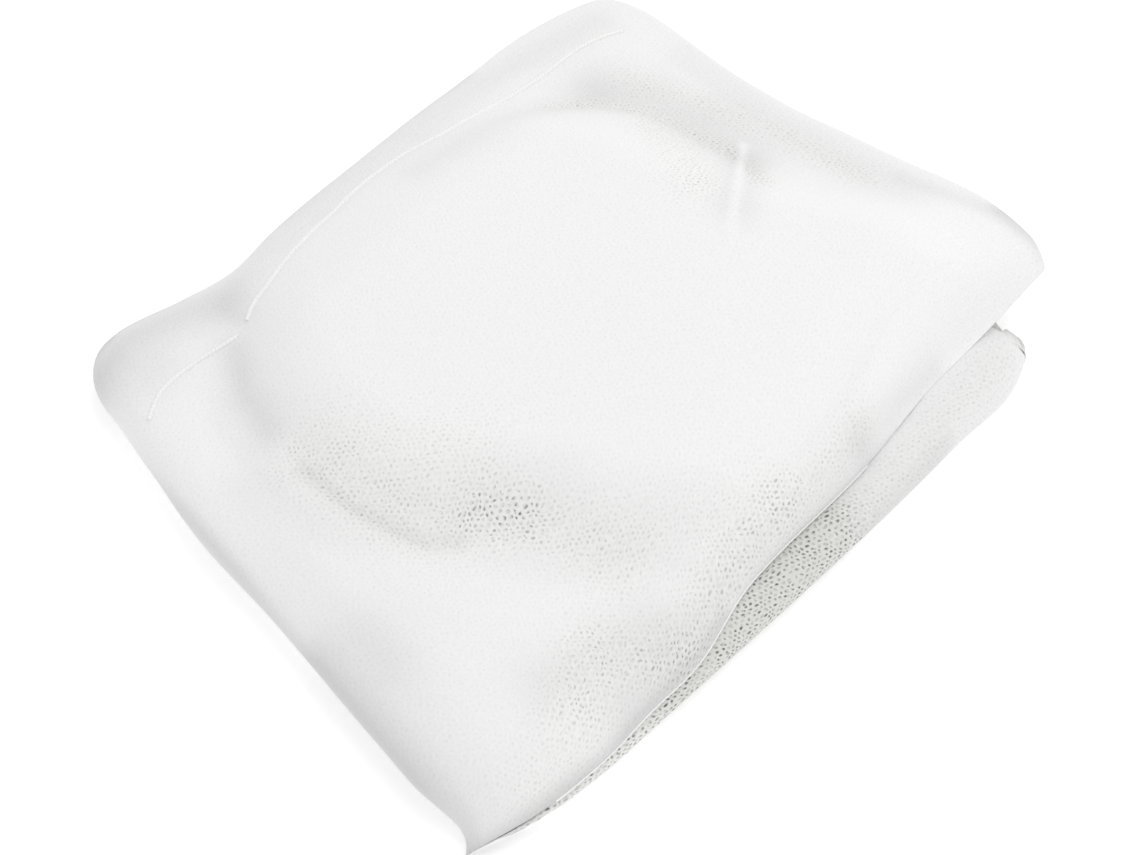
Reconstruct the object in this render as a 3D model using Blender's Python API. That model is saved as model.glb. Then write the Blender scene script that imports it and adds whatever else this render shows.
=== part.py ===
"""Folded mosquito net: one long sheet of knitted netting, folded back and forth into a soft packet.

The packet lies flat. Its rolled fold is at -X and its open ends are at +X. Seen in section along X, the sheet
zigzags down inside the lower bundle and passes under it all. It then turns up round the rolled fold, runs over
the whole top, and zigzags down inside the upper bundle. All tables are in millimetres, from the middle of the
packet in plan and from the surface that it lies on.
"""

import math
from collections import namedtuple

import bmesh
import bpy
from mathutils import Matrix, Vector

MM = 0.001

# Driving sizes
PACKET_LENGTH = 290.0
SHEET = 1.8
LOWER_HEIGHT = 16.5
BUNDLE_GAP = 1.0
FLAP_LIFT = 8.5
EDGE_STACK = 6.5
FULL_STACK = 28.0

# How finely the sheet is divided
STEPS_LOWER_LAYER = 6
STEPS_UPPER_LAYER = 14
STEPS_BOTTOM = 12
STEPS_TOP = 20
STEPS_A_FOLD = 3
STEPS_ROUND_ROLL = 6
SIDE_COLUMNS = 3
FLAT_COLUMNS = 13

# The sides of the bundles, at places along the packet: where the top layer and the lower bundle reach on the
# near (-Y) and far (+Y) side, how high the top layer's hem hangs there, how wide its shoulder is, how much of
# the near hem is tucked under, how far the lower bundle's sides are rolled up, and where the layers inside the
# upper bundle stop.
Side = namedtuple(
    "Side",
    "along top_near top_far low_near low_far hem_near hem_far shoulder tucked rolled in_near in_far",
)
SIDES = (
    Side(-145, -118.0, 111.0, -117.0, 107.5, 5.2, 5.2, 30, 0.0, 0.00, -100, 72),
    Side(-120, -123.5, 115.5, -123.5, 111.0, 8.0, 8.6, 26, 0.0, 0.18, -104, 73),
    Side(-95, -125.5, 108.5, -126.0, 104.0, 13.5, 12.6, 20, 0.0, 0.60, -108, 75),
    Side(-75, -124.0, 105.0, -126.0, 101.5, 16.5, 14.0, 17, 0.0, 0.85, -109, 80),
    Side(-52, -122.4, 110.3, -125.6, 106.0, 17.5, 14.0, 15, 0.1, 1.00, -107, 86),
    Side(-20, -113.0, 115.0, -124.7, 110.8, 19.0, 14.0, 14, 0.8, 1.00, -102, 91),
    Side(40, -107.2, 123.0, -122.0, 117.5, 19.0, 15.0, 18, 0.8, 1.00, -94, 95),
    Side(80, -100.2, 126.0, -119.0, 120.0, 18.2, 18.0, 25, 0.0, 1.00, -87, 95),
    Side(110, -97.3, 119.5, -117.0, 114.5, 18.4, 23.0, 25, 0.0, 1.00, -83, 93),
    Side(145, -96.0, 107.0, -100.0, 103.0, 30.0, 24.0, 12, 0.0, 1.00, -82, 88),
)

# The ends of the bundles, at places across the packet: the rolled fold, the open ends of the top layer and of
# the lower bundle, and where the layers inside the upper bundle start and stop.
End = namedtuple("End", "across roll top_open low_open in_roll in_open")
ENDS = (
    End(-125, -146.0, 140.0, 122.0, -12, 120),
    End(-98, -144.7, 147.0, 127.5, -22, 127),
    End(-69, -144.5, 151.5, 126.0, -58, 130),
    End(-45, -144.6, 150.0, 123.0, -72, 125),
    End(-12, -144.7, 141.5, 120.0, -101, 104),
    End(20, -146.4, 132.5, 118.0, -109, 90),
    End(50, -144.5, 128.0, 118.0, -103, 78),
    End(75, -142.5, 127.0, 117.0, -90, 62),
    End(98, -141.5, 124.0, 115.0, -80, 48),
    End(125, -121.0, 111.0, 108.0, -70, 40),
)

# The layers from the sheet's lower end to its upper end. Share is a layer's height in its bundle, from 0 at the
# bottom to 1 at the top. The other columns say how far it stops short at the rolled fold, at the open end, and
# at each side.
Layer = namedtuple("Layer", "bundle share from_roll from_open from_near from_far")
LAYERS = (
    Layer("lower", 0.77, 29, 8, 15, 15),
    Layer("lower", 0.59, 29, 13, 13, 15),
    Layer("lower", 0.40, 22, 13, 13, 13),
    Layer("lower", 0.21, 22, 0, 12, 13),
    Layer("lower", 0.0, 0, 0, 0, 0),
    Layer("upper", 1.0, 0, 0, 0, 0),
    Layer("upper", 0.75, 17, 0, 13, 4),
    Layer("upper", 0.5, 17, 16, 12, 8),
    Layer("upper", 0.25, 6, 16, 5, 5),
    Layer("upper", 0.0, 6, 3, 6, 6),
)
BOTTOM, TOP, UNDER_TOP = LAYERS[4], LAYERS[5], LAYERS[6]

# Soft dips and swells of the whole top, as the cloth was left: middle, half widths and height.
Swell = namedtuple("Swell", "along across half_along half_across height")
SWELLS = (
    Swell(-72, -46, 26, 15, -2.5),
    Swell(-104, 45, 16, 30, -2.0),
    Swell(-96, -66, 26, 26, 2.5),
    Swell(40, -40, 55, 45, 3.0),
    Swell(-30, 45, 45, 40, 2.5),
    Swell(-78, -104, 22, 14, -1.5),
)

PILE_START = 22.0
PILE_SLOPE = 55.0
HEM_TUCK_TURN = math.radians(60)
HEM_TUCK_DEPTH = 1.2
ROLL_TUCK = 10.0
TUCK_UNDER_FLAP = 8.0
ROUND_END = 12.0
MOUTH = 0.5
TOP_OPEN = 40.0
TOP_CLOSED = 40.0
UNDER_WIDENS = 0.75
FLAT_HEM_FROM = 40.0
FLAT_HEM_LENGTH = 40.0
LAYER_GAP = 2.6


def smoothstep(value):
    value = min(max(value, 0.0), 1.0)
    return value * value * (3 - 2 * value)


def mix(a, b, share):
    return a + (b - a) * share


def read(rows, at, column):
    """A table's column at any place between its rows, on a smooth curve through them."""
    places = [row[0] for row in rows]
    values = [getattr(row, column) for row in rows]
    at = min(max(at, places[0]), places[-1])
    i = max(k for k in range(len(rows) - 1) if places[k] <= at)

    def slope(k):
        low, high = max(k - 1, 0), min(k + 1, len(rows) - 1)
        return (values[high] - values[low]) / (places[high] - places[low])

    span = places[i + 1] - places[i]
    t = (at - places[i]) / span
    rise = values[i + 1] - values[i]
    start, end = slope(i) * span, slope(i + 1) * span
    return values[i] + t * (start + t * (3 * rise - 2 * start - end + t * (start + end - 2 * rise)))


def ramp(inside):
    """How far the pile has risen at a distance inside its edge, from 0 to 1."""
    return smoothstep((inside + PILE_START) / PILE_SLOPE)


def pile(x, y):
    """How much of the upper bundle's inner pile lies at a place, from 0 to 1."""
    share = ramp(x - read(ENDS, y, "in_roll")) * ramp(read(ENDS, y, "in_open") - x)
    return share * ramp(y - read(SIDES, x, "in_near")) * ramp(read(SIDES, x, "in_far") - y)


def swell(x, y):
    total = 0.0
    for row in SWELLS:
        away = ((x - row.along) / row.half_along) ** 2 + ((y - row.across) / row.half_across) ** 2
        total += row.height * math.exp(-away)
    return total


def upper_floor(x, y):
    """The underside of the upper bundle. The slit below it gapes at the near end of the open side."""
    return LOWER_HEIGHT + BUNDLE_GAP + FLAP_LIFT * smoothstep((x - 20) / 110) * smoothstep((-20 - y) / 80)


def top_height(x, y):
    """The middle of the top layer, before its sides turn down."""
    stack = mix(EDGE_STACK, FULL_STACK, pile(x, y))
    return upper_floor(x, y) + stack + swell(x, y) - SHEET / 2


def top_surface(x, y):
    """The middle of the top layer, whose sides turn down to the hem.

    Towards the open end the near side runs out flat on the lower bundle.
    """
    near, far = read(SIDES, x, "top_near"), read(SIDES, x, "top_far")
    shoulder = read(SIDES, x, "shoulder")
    inner_y = min(max(y, near + shoulder), far - shoulder)
    flat = top_height(x, inner_y)
    hem = read(SIDES, x, "hem_near" if y < inner_y else "hem_far")
    out = min(abs(y - inner_y) / shoulder, 1.0)
    roundness = mix(0.5, 1.0, smoothstep((shoulder - 15) / 12))
    if y < inner_y:
        roundness += smoothstep((x - FLAT_HEM_FROM) / FLAT_HEM_LENGTH)
    return hem + (flat - hem) * (1 - out * out) ** roundness


COLUMNS = 2 * SIDE_COLUMNS + FLAT_COLUMNS


def plan_point(u, j, roll, opening, near, far, layer):
    """A place in plan, from its share along and its column across. The edges are columns of the two tables."""
    v = j / (COLUMNS - 1)
    y = mix(read(SIDES, 0, near), read(SIDES, 0, far), v)
    x = mix(read(ENDS, y, roll) + layer.from_roll, read(ENDS, y, opening) - layer.from_open, u)
    return x, mix(read(SIDES, x, near) + layer.from_near, read(SIDES, x, far) - layer.from_far, v)


def column_run(j, side_stops, flat, gathered):
    """Where a column lies along the cloth's width, from the near side's turn at 0 to the far side's at flat.

    side_stops are the lengths round a side at its columns, longest first. Values below 0 or past flat are round
    a side. gathered is 1 where the columns stand at those stops, and 0 where all are evenly apart.
    """
    if j < SIDE_COLUMNS:
        stop = -side_stops[j]
    elif j >= SIDE_COLUMNS + FLAT_COLUMNS:
        stop = flat + side_stops[COLUMNS - 1 - j]
    else:
        stop = flat * (j - SIDE_COLUMNS) / (FLAT_COLUMNS - 1)
    longest = side_stops[0]
    return mix(-longest + (flat + 2 * longest) * j / (COLUMNS - 1), stop, gathered)


def split_run(run, flat):
    """A run's place on the flat, how far it goes round a side, and which side that is."""
    if run < 0:
        return 0.0, -run, -1
    if run > flat:
        return flat, run - flat, 1
    return run, 0.0, 0


def bottom_point(x, j):
    """The lowest layer: flat below, its sides rolled up and tucked in over the lower bundle.

    The rolls draw in to a rounded mouth at the open end, and under the flap the near one is tucked in deeper.
    """
    near, far = read(SIDES, x, "low_near"), read(SIDES, x, "low_far")
    edge = near if j < COLUMNS / 2 else far
    closed = read(SIDES, x, "rolled")
    past = min(max((x - read(ENDS, edge, "low_open") + ROUND_END) / ROUND_END, 0.0), 1.0)
    rolled = closed * mix(MOUTH, 1.0, math.sqrt(1 - past * past))
    radius = max((LOWER_HEIGHT - SHEET) / 2 * rolled, 0.01)
    half_turn = math.pi * radius
    tuck_length = ROLL_TUCK
    if j < COLUMNS / 2:
        tuck_length += TUCK_UNDER_FLAP * smoothstep((x - FLAT_HEM_FROM) / FLAT_HEM_LENGTH)
    stops = [half_turn + tuck_length * smoothstep((rolled - 0.7) / 0.3)]
    stops += [half_turn * (SIDE_COLUMNS - k) / (SIDE_COLUMNS - 0.5) for k in range(1, SIDE_COLUMNS)]
    flat = far - near - 2 * radius
    place, round_it, side = split_run(column_run(j, stops, flat, smoothstep(closed * 3)), flat)
    turn = min(round_it / radius, math.pi)
    tuck = max(round_it - half_turn, 0.0)
    y = near + radius + place + side * (radius * math.sin(turn) - tuck)
    return x, y, SHEET / 2 + radius * (1 - math.cos(turn))


def top_point(x, j, gathered):
    """The top layer: it follows the pile, its sides turn down, and its near hem turns a little under."""
    near, far = read(SIDES, x, "top_near"), read(SIDES, x, "top_far")
    shoulder = read(SIDES, x, "shoulder")
    tuck = HEM_TUCK_TURN * read(SIDES, x, "tucked") * gathered if j < COLUMNS / 2 else 0.0
    whole_turn = math.pi / 2 + max(tuck, 0.0)
    stops = [shoulder * whole_turn * (SIDE_COLUMNS - k) / SIDE_COLUMNS for k in range(SIDE_COLUMNS)]
    flat = far - near - 2 * shoulder
    place, round_it, side = split_run(column_run(j, stops, flat, gathered), flat)
    turn = round_it / shoulder
    y = near + shoulder + place + side * shoulder * math.sin(turn)
    if side > 0 or turn <= math.pi / 2:
        return x, y, top_surface(x, y)
    return x, y, read(SIDES, x, "hem_near") + HEM_TUCK_DEPTH * math.cos(turn)


def inner_point(x, y, layer):
    """A layer inside a bundle. The one under the top sinks to the bottom of the flap outside the pile.

    The flap's floor gives way where the top layer comes down to its hem.
    """
    if layer.bundle == "lower":
        return x, y, SHEET / 2 + (LOWER_HEIGHT - SHEET) * layer.share
    share = layer.share
    if layer is UNDER_TOP:
        share *= smoothstep((pile(x, y) - 0.06) / 0.36)
    top = top_surface(x, y)
    floor = min(upper_floor(x, y), max(top - LAYER_GAP, LOWER_HEIGHT + BUNDLE_GAP))
    return x, y, mix(floor + SHEET / 2, top, share)


def roll_radius(y):
    """Half the height of the rolled fold."""
    return (top_surface(read(ENDS, y, "roll"), y) - SHEET / 2) / 2


def bottom_row(layer, u):
    row = []
    for j in range(COLUMNS):
        x, y = plan_point(u, j, "roll", "low_open", "low_near", "low_far", layer)
        row.append(bottom_point(x + roll_radius(y) * (1 - u), j))
    return row


def top_row(layer, u):
    gathered = smoothstep(u * PACKET_LENGTH / TOP_CLOSED) * smoothstep((1 - u) * PACKET_LENGTH / TOP_OPEN)
    row = []
    for j in range(COLUMNS):
        x, y = plan_point(u, j, "roll", "top_open", "top_near", "top_far", layer)
        row.append(top_point(x + roll_radius(y) * (1 - u), j, gathered))
    return row


def lower_row(layer, u):
    places = [plan_point(u, j, "roll", "low_open", "low_near", "low_far", layer) for j in range(COLUMNS)]
    return [inner_point(x, y, layer) for x, y in places]


def upper_row(layer, u):
    places = [plan_point(u, j, "in_roll", "in_open", "in_near", "in_far", layer) for j in range(COLUMNS)]
    return [inner_point(x, y, layer) for x, y in places]


def under_top_row(layer, u):
    """The layer under the top. It widens to the top's width at the open fold that joins them."""
    widened = smoothstep((u - UNDER_WIDENS) / (1 - UNDER_WIDENS))
    row = []
    for j in range(COLUMNS):
        x, y = plan_point(u, j, "in_roll", "top_open", "in_near", "in_far", layer)
        wide_y = plan_point(u, j, "in_roll", "top_open", "top_near", "top_far", layer)[1]
        row.append(inner_point(x, mix(y, wide_y, widened), layer))
    return row


def layer_rows(layer):
    """A layer's rows of points, from the rolled fold to the open end."""
    if layer is BOTTOM:
        make, steps = bottom_row, STEPS_BOTTOM
    elif layer is TOP:
        make, steps = top_row, STEPS_TOP
    elif layer is UNDER_TOP:
        make, steps = under_top_row, STEPS_UPPER_LAYER
    elif layer.bundle == "lower":
        make, steps = lower_row, STEPS_LOWER_LAYER
    else:
        make, steps = upper_row, STEPS_UPPER_LAYER
    shares = [step / steps for step in range(steps + 1)]
    if layer in (BOTTOM, TOP):
        shares = [mix(share, smoothstep(share), 0.5) for share in shares]
    return [make(layer, share) for share in shares]


def turn_over(first, second, outward, steps):
    """The rows of a fold between two layers' ends, as half circles that bulge outward along X."""
    rows = []
    for step in range(1, steps + 1):
        angle = math.pi * step / (steps + 1)
        share = (1 - math.cos(angle)) / 2
        row = []
        for a, b in zip(first, second):
            bulge = outward * abs(a[2] - b[2]) / 2 * math.sin(angle)
            x, y, z = (mix(a[axis], b[axis], share) for axis in range(3))
            row.append((x + bulge, y, z))
        rows.append(row)
    return rows


def sheet_rows():
    """All rows of points along the sheet, from its end in the lower bundle to its end in the upper one."""
    rows = []
    for index, layer in enumerate(LAYERS):
        towards_roll = index % 2 == 0
        new_rows = layer_rows(layer)
        if towards_roll:
            new_rows.reverse()
        if rows:
            steps = STEPS_ROUND_ROLL if layer is TOP else STEPS_A_FOLD
            rows += turn_over(rows[-1], new_rows[0], 1 if towards_roll else -1, steps)
        rows += new_rows
    return rows


def make_net_material():
    material = bpy.data.materials.new("white polyester netting")
    material.use_nodes = True
    shader = material.node_tree.nodes["Principled BSDF"]
    shader.inputs["Base Color"].default_value = (0.86, 0.86, 0.85, 1)
    shader.inputs["Roughness"].default_value = 0.85
    shader.inputs["Metallic"].default_value = 0.0
    return material


def centre_on_origin(net):
    """Moves the mesh so that the middle of its underside is at the origin."""
    view = bpy.context.evaluated_depsgraph_get()
    corners = [Vector(corner) for corner in net.evaluated_get(view).bound_box]
    low = Vector(min(corner[axis] for corner in corners) for axis in range(3))
    high = Vector(max(corner[axis] for corner in corners) for axis in range(3))
    net.data.transform(Matrix.Translation((-(low.x + high.x) / 2, -(low.y + high.y) / 2, -low.z)))


def make_net():
    grid = bmesh.new()
    made = [[grid.verts.new([value * MM for value in point]) for point in row] for row in sheet_rows()]
    for row, following in zip(made, made[1:]):
        for j in range(COLUMNS - 1):
            grid.faces.new((row[j], following[j], following[j + 1], row[j + 1]))
    mesh = bpy.data.meshes.new("net")
    grid.to_mesh(mesh)
    grid.free()
    mesh.shade_smooth()
    mesh.materials.append(make_net_material())
    net = bpy.data.objects.new("net", mesh)
    bpy.context.scene.collection.objects.link(net)
    thickness = net.modifiers.new("sheet", "SOLIDIFY")
    thickness.thickness = SHEET * MM
    thickness.offset = 0
    centre_on_origin(net)


for old in list(bpy.data.objects):
    bpy.data.objects.remove(old)
make_net()
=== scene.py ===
# %% [markdown]
# # A folded mosquito net
#
# The object is a bed net of fine white knitted mesh, folded into a soft packet that lies flat. The whole
# packet is one long sheet: it zigzags in a lower bundle, runs under it, turns up round a rolled fold,
# covers the top, and zigzags again in an upper bundle. A net this fine looks white where many layers lie
# on each other, and grey and dotted where only a few do. Both the folds and that dotted greyness are built
# here.
# The grey and the dark dots also carry painted shade, on the rims, in troughs and in hollows.

# %% Load the imported model
import math
from collections import namedtuple

import bpy
import numpy as np
from mathutils import Matrix, Vector, noise


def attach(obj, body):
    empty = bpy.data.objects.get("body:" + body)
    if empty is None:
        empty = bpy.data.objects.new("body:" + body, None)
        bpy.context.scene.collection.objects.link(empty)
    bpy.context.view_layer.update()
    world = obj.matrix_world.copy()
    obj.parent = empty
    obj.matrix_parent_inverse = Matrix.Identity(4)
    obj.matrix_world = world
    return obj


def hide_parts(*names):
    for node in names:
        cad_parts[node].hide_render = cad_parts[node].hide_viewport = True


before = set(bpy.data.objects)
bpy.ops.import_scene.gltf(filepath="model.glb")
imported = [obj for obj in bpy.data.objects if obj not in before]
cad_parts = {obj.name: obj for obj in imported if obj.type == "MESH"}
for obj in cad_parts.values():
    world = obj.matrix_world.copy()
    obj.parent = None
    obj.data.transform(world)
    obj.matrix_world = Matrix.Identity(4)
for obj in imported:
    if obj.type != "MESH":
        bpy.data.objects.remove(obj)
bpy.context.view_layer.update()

MM = 0.001

# %% [markdown]
# ## The camera
#
# The photograph looks down at the packet at a steep angle, from the side of its left corner. A lens of 50
# mm on a sensor 36 mm wide gives the same convergence of the edges. The camera could be turned with a
# constraint, but three named measures, the turn, the height angle and the distance, say the same more
# plainly.

# %% Place the camera
CAMERA_TURN = math.radians(-41.0)
CAMERA_HEIGHT = math.radians(58.5)
CAMERA_DISTANCE = 0.549
CAMERA_TARGET = Vector((-0.0305, -0.0297, 0.020))
LENS = 50.0
SENSOR = 36.0


def make_camera():
    data = bpy.data.cameras.new("camera")
    data.lens = LENS
    data.sensor_width = SENSOR
    data.clip_start = 0.01
    camera = bpy.data.objects.new("camera", data)
    level = math.cos(CAMERA_HEIGHT)
    back = Vector((math.sin(CAMERA_TURN) * level, -math.cos(CAMERA_TURN) * level, math.sin(CAMERA_HEIGHT)))
    camera.location = CAMERA_TARGET + back * CAMERA_DISTANCE
    camera.rotation_euler = back.to_track_quat("Z", "Y").to_euler()
    bpy.context.scene.collection.objects.link(camera)
    bpy.context.scene.camera = camera
    return camera


camera = make_camera()
print("the camera stands at", [round(value, 3) for value in camera.location])

# %% [markdown]
# ## The sizes of the packet
#
# The sheet follows the same folds as the solid that MuJoCo rests on the table, so its tables are repeated
# here, in millimetres, close to the middle of the packet. What differs is the cloth: it is as thin as the
# eye expects, and there are nearly twice as many layers, because a real packet of net is dense. A table
# row is one place along a side or an end, and a smooth curve is drawn through the rows.

# %% Driving sizes and tables
PACKET_LENGTH = 290.0
TABLE_MIDDLE = (4.484, -0.13)
SHEET = 0.5
LOWER_HEIGHT = 16.5
BUNDLE_GAP = 1.0
FLAP_LIFT = 8.5
FLAP_ALONG = (20, 110)
FLAP_ACROSS = (-20, 80)
EDGE_STACK = 6.5
FULL_STACK = 28.0

Side = namedtuple(
    "Side",
    "along top_near top_far low_near low_far hem_near hem_far shoulder tucked rolled in_near in_far",
)
SIDES = (
    Side(-145, -118.0, 111.0, -117.0, 107.5, 5.2, 5.2, 30, 0.0, 0.00, -100, 72),
    Side(-120, -123.5, 115.5, -123.5, 111.0, 8.0, 8.6, 26, 0.0, 0.18, -104, 73),
    Side(-95, -125.5, 108.5, -126.0, 104.0, 13.5, 12.6, 20, 0.0, 0.60, -108, 75),
    Side(-75, -124.0, 105.0, -126.0, 101.5, 16.5, 14.0, 17, 0.0, 0.85, -109, 80),
    Side(-52, -122.4, 110.3, -125.6, 106.0, 17.5, 14.0, 15, 0.1, 1.00, -107, 86),
    Side(-20, -113.0, 115.0, -124.7, 110.8, 19.0, 14.0, 14, 0.8, 1.00, -102, 91),
    Side(40, -107.2, 123.0, -122.0, 117.5, 19.0, 15.0, 18, 0.8, 1.00, -94, 95),
    Side(80, -100.2, 126.0, -119.0, 120.0, 18.2, 18.0, 25, 0.0, 1.00, -87, 95),
    Side(110, -97.3, 119.5, -117.0, 114.5, 18.4, 23.0, 25, 0.0, 1.00, -83, 93),
    Side(145, -96.0, 107.0, -100.0, 103.0, 30.0, 24.0, 12, 0.0, 1.00, -82, 88),
)

End = namedtuple("End", "across roll top_open low_open in_roll in_open")
ENDS = (
    End(-125, -146.0, 140.0, 122.0, -12, 120),
    End(-98, -144.7, 147.0, 127.5, -22, 127),
    End(-69, -144.5, 151.5, 126.0, -58, 130),
    End(-45, -144.6, 150.0, 123.0, -72, 125),
    End(-12, -144.7, 141.5, 120.0, -101, 104),
    End(20, -146.4, 132.5, 118.0, -109, 90),
    End(50, -144.5, 128.0, 118.0, -103, 78),
    End(75, -142.5, 127.0, 117.0, -90, 62),
    End(98, -141.5, 124.0, 115.0, -80, 48),
    End(125, -121.0, 111.0, 108.0, -70, 40),
)

Layer = namedtuple("Layer", "bundle share from_roll from_open from_near from_far steps")
LAYERS = (
    Layer("lower", 0.80, 32, 4, 16, 15, 8),
    Layer("lower", 0.70, 32, 3, 15, 14, 8),
    Layer("lower", 0.60, 25, 3, 14, 15, 8),
    Layer("lower", 0.50, 25, -4, 2, 14, 8),
    Layer("lower", 0.40, 29, -4, 2, 14, 8),
    Layer("lower", 0.30, 29, 3, 14, 13, 8),
    Layer("lower", 0.20, 22, 3, 13, 13, 8),
    Layer("lower", 0.10, 22, 0, 12, 13, 8),
    Layer("lower", 0.0, 0, 0, 0, 0, 48),
    Layer("upper", 1.0, 0, 0, 0, 0, 150),
    Layer("upper", 0.86, 17, 0, 5, 4, 26),
    Layer("upper", 0.72, 17, 15, 7, 7, 12),
    Layer("upper", 0.57, 9, 15, 6, 8, 12),
    Layer("upper", 0.43, 9, 8, 5, 6, 12),
    Layer("upper", 0.29, 14, 8, 7, 5, 12),
    Layer("upper", 0.14, 14, 12, 5, 7, 12),
    Layer("upper", 0.0, 6, 12, 6, 6, 10),
)
BOTTOM, TOP, UNDER_TOP = LAYERS[8], LAYERS[9], LAYERS[10]

Swell = namedtuple("Swell", "along across half_along half_across height")
SWELLS = (
    Swell(-72, -46, 26, 15, -2.5),
    Swell(-104, 45, 16, 30, -2.0),
    Swell(-96, -66, 26, 26, 2.5),
    Swell(40, -40, 55, 45, 3.0),
    Swell(-30, 45, 45, 40, 2.5),
    Swell(-78, -104, 22, 14, -1.5),
)

PILE_START = 22.0
PILE_SLOPE = 55.0
HEM_TUCK_TURN = math.radians(60)
HEM_TUCK_DEPTH = 1.2
ROLL_TUCK = 10.0
TUCK_UNDER_FLAP = 8.0
TUCK_SLOPE = 0.04
ROUND_END = 12.0
MOUTH = 0.5
TOP_OPEN = 40.0
TOP_CLOSED = 40.0
UNDER_WIDENS = 0.75
UNDER_RISES = (0.06, 0.36)
SHARP_SHOULDER = 15.0
SHOULDER_EASE = 12.0
ROLL_CLOSES = (0.7, 0.3)
CREASES_END = (0.9, 0.5)
ROLL_WAVE = 0.35
LAYER_WAVE = 0.25
FLAT_HEM_FROM = 40.0
FLAT_HEM_LENGTH = 40.0
LAYER_GAP = 2.6
HEM_DROP = 1.7
HEM_DROP_FROM = -60.0
HEM_DROP_LENGTH = 100.0
STEPS_A_FOLD = 4
STEPS_ROUND_ROLL = 14
SIDE_COLUMNS = 11
FLAT_COLUMNS = 84
COLUMNS = 2 * SIDE_COLUMNS + FLAT_COLUMNS
print("layers:", len(LAYERS), " columns:", COLUMNS)

# %% [markdown]
# ## Reading the tables
#
# Each helper works on a whole layer at once, as an array of places with one row for each step along the
# packet and one column for each thread line across it. That keeps the script fast, and the formulas stay
# the same as for a single point.

# %% Small helpers


def smoothstep(value):
    value = np.clip(value, 0.0, 1.0)
    return value * value * (3 - 2 * value)


def mix(a, b, share):
    return a + (b - a) * share


def read(rows, at, column):
    """A table's column at places between its rows, on a smooth curve through them."""
    places = np.array([row[0] for row in rows], float)
    values = np.array([getattr(row, column) for row in rows], float)
    slopes = np.gradient(values)
    slopes[1:-1] = (values[2:] - values[:-2]) / (places[2:] - places[:-2])
    slopes[0] = (values[1] - values[0]) / (places[1] - places[0])
    slopes[-1] = (values[-1] - values[-2]) / (places[-1] - places[-2])
    at = np.clip(at, places[0], places[-1])
    i = np.clip(np.searchsorted(places, at, side="right") - 1, 0, len(places) - 2)
    span = places[i + 1] - places[i]
    t = (at - places[i]) / span
    rise = values[i + 1] - values[i]
    start, end = slopes[i] * span, slopes[i + 1] * span
    return values[i] + t * (start + t * (3 * rise - 2 * start - end + t * (start + end - 2 * rise)))


def line_distance(x, y, points):
    """The distance in plan from places to a line through points, and how far along the line they lie."""
    best = np.full(np.shape(x), 1e9)
    share = np.zeros(np.shape(x))
    for k, ((ax, ay), (bx, by)) in enumerate(zip(points, points[1:])):
        along, across = bx - ax, by - ay
        t = np.clip(((x - ax) * along + (y - ay) * across) / (along**2 + across**2), 0, 1)
        away = np.hypot(x - ax - t * along, y - ay - t * across)
        nearer = away < best
        best = np.where(nearer, away, best)
        share = np.where(nearer, (k + t) / (len(points) - 1), share)
    return best, share


print("the top's near hem stands", float(read(SIDES, 0, "hem_near")), "mm high at mid length")
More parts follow.
